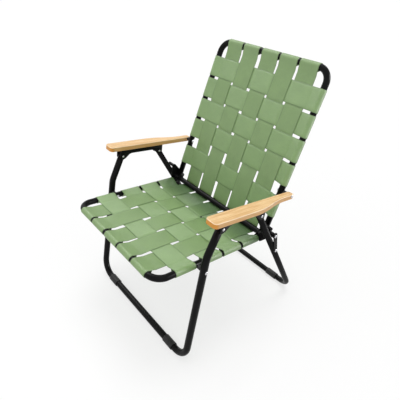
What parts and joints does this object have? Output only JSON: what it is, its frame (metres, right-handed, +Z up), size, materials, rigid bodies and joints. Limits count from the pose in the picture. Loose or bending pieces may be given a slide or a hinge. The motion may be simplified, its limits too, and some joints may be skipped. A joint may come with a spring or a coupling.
{
  "type": "folding lawn chair",
  "caption": "Folding lawn chair with a bent black tube frame, woven green webbing on seat and back, and wooden armrests; the back and legs fold flat together.",
  "frame": {"origin": "on the floor, in the middle of the chair's width and depth", "axes": "+Z up, the chair faces -Y, +X to the sitter's left"},
  "size_m": [0.64, 0.723, 0.8918],
  "materials": {
    "black_paint": "satin powder coat",
    "webbing": "woven polypropylene strap",
    "wood": "clear varnish",
    "zinc": "zinc plated",
    "black_plastic": "moulded"
  },
  "bodies": {
    "seat": {"seat_frame": "black_paint", "rear_cross_bar": "black_paint", "hinge_plate_left": "black_paint", "hinge_plate_right": "black_paint", "seat_leg_bolt_left": "zinc", "seat_leg_bolt_right": "zinc", "seat_leg_spacer_left": "black_plastic", "seat_leg_spacer_right": "black_plastic", "hinge_bolt_left": "zinc", "hinge_bolt_right": "zinc", "hinge_sleeve_left": "black_paint", "hinge_sleeve_right": "black_paint", "plate_rivet_left": "black_paint", "plate_rivet_right": "black_paint", "seat_tube_plug_left": "black_plastic", "seat_tube_plug_right": "black_plastic", "seat_strap_1": "webbing", "seat_strap_2": "webbing", "seat_strap_3": "webbing", "seat_strap_4": "webbing", "long_strap_seat_1": "webbing", "long_strap_seat_2": "webbing", "long_strap_seat_3": "webbing", "long_strap_seat_4": "webbing", "long_strap_seat_5": "webbing"},
    "back": {"back_frame": "black_paint", "back_tube_plug_left": "black_plastic", "back_tube_plug_right": "black_plastic", "back_strap_1": "webbing", "back_strap_2": "webbing", "back_strap_3": "webbing", "back_strap_4": "webbing", "back_strap_5": "webbing", "long_strap_back_1": "webbing", "long_strap_back_2": "webbing", "long_strap_back_3": "webbing", "long_strap_back_4": "webbing", "long_strap_back_5": "webbing"},
    "front_legs": {"front_leg_frame": "black_paint", "front_foot_sleeve_left": "black_plastic", "front_foot_sleeve_right": "black_plastic"},
    "rear_legs": {"rear_leg_frame": "black_paint", "rear_foot_sleeve_left": "black_plastic", "rear_foot_sleeve_right": "black_plastic"},
    "arm_left": {"armrest_left": "wood", "arm_bracket_left": "black_paint", "front_arm_rivet_left": "zinc", "rear_arm_rivet_left": "zinc", "arm_back_bolt_left": "zinc", "arm_back_spacer_left": "black_plastic"},
    "link_left": {"rear_link_left": "black_paint", "link_rivet_left": "zinc"},
    "arm_right": {"armrest_right": "wood", "arm_bracket_right": "black_paint", "front_arm_rivet_right": "zinc", "rear_arm_rivet_right": "zinc", "arm_back_bolt_right": "zinc", "arm_back_spacer_right": "black_plastic"},
    "link_right": {"rear_link_right": "black_paint", "link_rivet_right": "zinc"}
  },
  "joints": [
    {"name": "back_fold", "type": "hinge", "parent": "seat", "child": "back", "pos_m": [0, 0.11371, 0.3645], "axis": [1, 0, 0], "range_deg": [0, 90]},
    {"name": "front_leg_fold", "type": "hinge", "parent": "seat", "child": "front_legs", "pos_m": [0, -0.19646, 0.38438], "axis": [1, 0, 0], "range_deg": [0, 90]},
    {"name": "arm_left_fold", "type": "hinge", "parent": "back", "child": "arm_left", "pos_m": [0, 0.17663, 0.50231], "axis": [1, 0, 0], "range_deg": [-90, 0]},
    {"name": "arm_right_fold", "type": "hinge", "parent": "back", "child": "arm_right", "pos_m": [0, 0.17663, 0.50231], "axis": [1, 0, 0], "range_deg": [-90, 0]},
    {"name": "rear_leg_fold", "type": "hinge", "parent": "arm_left", "child": "rear_legs", "pos_m": [0, 0.03047, 0.49238], "axis": [1, 0, 0], "range_deg": [0, 49.5]},
    {"name": "link_left_fold", "type": "hinge", "parent": "seat", "child": "link_left", "pos_m": [0, 0.11371, 0.3645], "axis": [1, 0, 0], "range_deg": [-96, 0]},
    {"name": "link_right_fold", "type": "hinge", "parent": "seat", "child": "link_right", "pos_m": [0, 0.11371, 0.3645], "axis": [1, 0, 0], "range_deg": [-96, 0]}
  ],
  "couplings": [
    {"joint": "front_leg_fold", "follows": "back_fold", "ratio": 1},
    {"joint": "arm_left_fold", "follows": "back_fold", "ratio": -1},
    {"joint": "arm_right_fold", "follows": "back_fold", "ratio": -1},
    {"joint": "rear_leg_fold", "follows": "back_fold", "ratio": 0.55},
    {"joint": "link_left_fold", "follows": "back_fold", "ratio": -1.066},
    {"joint": "link_right_fold", "follows": "back_fold", "ratio": -1.066}
  ]
}
